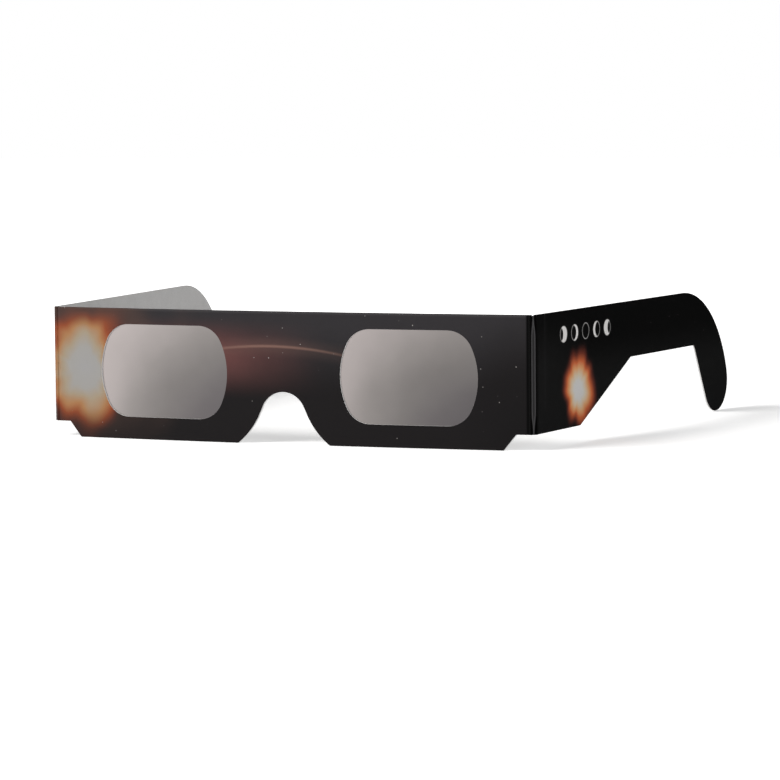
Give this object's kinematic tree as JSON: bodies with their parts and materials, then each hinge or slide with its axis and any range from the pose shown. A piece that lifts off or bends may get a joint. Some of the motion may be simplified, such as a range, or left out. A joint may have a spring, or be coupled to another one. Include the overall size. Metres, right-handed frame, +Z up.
{
  "type": "eclipse glasses",
  "caption": "Folding card viewing glasses with silvered filter films in two windows, a nose notch, double-creased corners and hooked temples.",
  "frame": {"origin": "on the table under the middle of the open glasses' bounding box", "axes": "+X to the right of someone who faces the printed front, -Y from the front towards the sun, +Y along the temples towards the ears, +Z up"},
  "size_m": [0.1616, 0.134, 0.0353],
  "materials": {
    "printed_card": "black offset print under a gloss coat, on 0.4 mm card",
    "plain_card": "uncoated white back of the card, matt",
    "filter_film": "silvered filter film, softly mirror-like with slight waviness",
    "glue": "thin dry glue film, matt"
  },
  "bodies": {
    "front": {"front_panel": "printed_card", "liner_flap": "plain_card", "top_fold": "printed_card", "glue_layer": "glue", "left_filter_film": "filter_film", "right_filter_film": "filter_film"},
    "left_crease": {"left_crease_strip": "printed_card"},
    "left_temple": {"left_temple": "printed_card"},
    "right_crease": {"right_crease_strip": "printed_card"},
    "right_temple": {"right_temple": "printed_card"}
  },
  "joints": [
    {"name": "left_inner_crease", "type": "hinge", "parent": "front", "child": "left_crease", "pos_m": [-0.0687, -0.06378, 0.01975], "axis": [0, 0, -1], "range_deg": [-40.1, 47.5]},
    {"name": "left_outer_crease", "type": "hinge", "parent": "left_crease", "child": "left_temple", "pos_m": [-0.06969, -0.06278, 0.01975], "axis": [0, 0, -1], "range_deg": [-40.1, 47.5]},
    {"name": "right_inner_crease", "type": "hinge", "parent": "front", "child": "right_crease", "pos_m": [0.0687, -0.06378, 0.01975], "axis": [0, 0, 1], "range_deg": [-40.1, 46.5]},
    {"name": "right_outer_crease", "type": "hinge", "parent": "right_crease", "child": "right_temple", "pos_m": [0.06969, -0.06278, 0.01975], "axis": [0, 0, 1], "range_deg": [-40.1, 46.5]}
  ]
}
